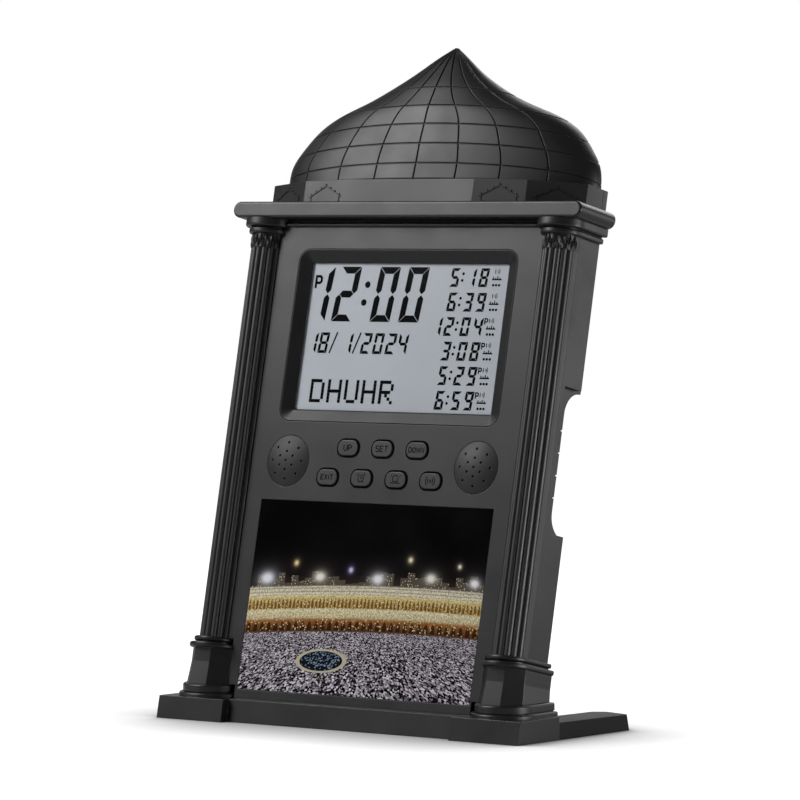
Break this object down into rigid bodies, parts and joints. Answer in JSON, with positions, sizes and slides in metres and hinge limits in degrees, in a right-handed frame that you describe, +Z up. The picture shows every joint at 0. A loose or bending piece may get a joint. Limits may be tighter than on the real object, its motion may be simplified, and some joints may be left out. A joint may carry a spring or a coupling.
{
  "type": "azan clock",
  "caption": "Mosque-shaped desk clock leaning back on a plinth with rear feet: domed top, reeded columns, display, push buttons, speakers and a picture panel.",
  "frame": {"origin": "on the flat underside of the base plate, on the table, under the face of the leaning front panel's lower edge and midway between the sides", "axes": "+Z up, the front looks along -Y, +X towards the viewer's right"},
  "size_m": [0.2, 0.0957, 0.2992],
  "materials": {
    "charcoal_plastic": "fine matte moulded plastic, charcoal",
    "dome_plastic": "satin moulded plastic, near black",
    "button_plastic": "satin key caps with pale marks",
    "clear_window": "thin clear window",
    "liquid_crystal": "pale grey liquid crystal display",
    "white_plastic": "diffusing light guide",
    "circuit_board": "green circuit board",
    "printed_panel": "glossy printed night scene",
    "keypad_rubber": "grey silicone rubber",
    "speaker_metal": "black loudspeaker frame",
    "cell_jacket": "printed metal jacket",
    "spring_steel": "nickel plated spring steel"
  },
  "bodies": {
    "housing": {"aa_cell_1": "cell_jacket", "aa_cell_2": "cell_jacket", "aa_cell_3": "cell_jacket", "backlight": "white_plastic", "base_plate": "charcoal_plastic", "battery_contact_left": "spring_steel", "battery_contact_right": "spring_steel", "battery_tray": "charcoal_plastic", "capital_left": "charcoal_plastic", "capital_right": "charcoal_plastic", "column_left": "charcoal_plastic", "column_right": "charcoal_plastic", "cornice": "charcoal_plastic", "display_bezel": "charcoal_plastic", "display_window": "clear_window", "dome_back": "dome_plastic", "dome_front": "dome_plastic", "drum_back": "charcoal_plastic", "drum_front": "charcoal_plastic", "front_shell": "charcoal_plastic", "key_board": "circuit_board", "keypad": "keypad_rubber", "lcd_panel": "liquid_crystal", "main_board": "circuit_board", "pedestal_left": "charcoal_plastic", "pedestal_right": "charcoal_plastic", "picture_panel": "printed_panel", "plinth": "charcoal_plastic", "rear_cover": "charcoal_plastic", "rear_foot_left": "charcoal_plastic", "rear_foot_right": "charcoal_plastic", "speaker_grille_left": "charcoal_plastic", "speaker_grille_right": "charcoal_plastic", "speaker_left": "speaker_metal", "speaker_right": "speaker_metal"},
    "battery_door_body": {"battery_door": "charcoal_plastic"},
    "button_up_key": {"button_up": "button_plastic"},
    "button_set_key": {"button_set": "button_plastic"},
    "button_down_key": {"button_down": "button_plastic"},
    "button_exit_key": {"button_exit": "button_plastic"},
    "button_alarm_key": {"button_alarm": "button_plastic"},
    "button_light_key": {"button_light": "button_plastic"},
    "button_sound_key": {"button_sound": "button_plastic"}
  },
  "joints": [
    {"name": "battery_door_hinge", "type": "hinge", "parent": "housing", "child": "battery_door_body", "pos_m": [0, 0.02804, 0.02082], "axis": [-1, 0, 0], "range_deg": [0, 90]},
    {"name": "button_up_press", "type": "slide", "parent": "housing", "child": "button_up_key", "axis": [0, 0.9781, -0.2079], "range_m": [0, 0.0008], "stiffness_N_per_m": 800, "springref_m": -0.0003},
    {"name": "button_set_press", "type": "slide", "parent": "housing", "child": "button_set_key", "axis": [0, 0.9781, -0.2079], "range_m": [0, 0.0008], "stiffness_N_per_m": 800, "springref_m": -0.0003},
    {"name": "button_down_press", "type": "slide", "parent": "housing", "child": "button_down_key", "axis": [0, 0.9781, -0.2079], "range_m": [0, 0.0008], "stiffness_N_per_m": 800, "springref_m": -0.0003},
    {"name": "button_exit_press", "type": "slide", "parent": "housing", "child": "button_exit_key", "axis": [0, 0.9781, -0.2079], "range_m": [0, 0.0008], "stiffness_N_per_m": 800, "springref_m": -0.0003},
    {"name": "button_alarm_press", "type": "slide", "parent": "housing", "child": "button_alarm_key", "axis": [0, 0.9781, -0.2079], "range_m": [0, 0.0008], "stiffness_N_per_m": 800, "springref_m": -0.0003},
    {"name": "button_light_press", "type": "slide", "parent": "housing", "child": "button_light_key", "axis": [0, 0.9781, -0.2079], "range_m": [0, 0.0008], "stiffness_N_per_m": 800, "springref_m": -0.0003},
    {"name": "button_sound_press", "type": "slide", "parent": "housing", "child": "button_sound_key", "axis": [0, 0.9781, -0.2079], "range_m": [0, 0.0008], "stiffness_N_per_m": 800, "springref_m": -0.0003}
  ]
}
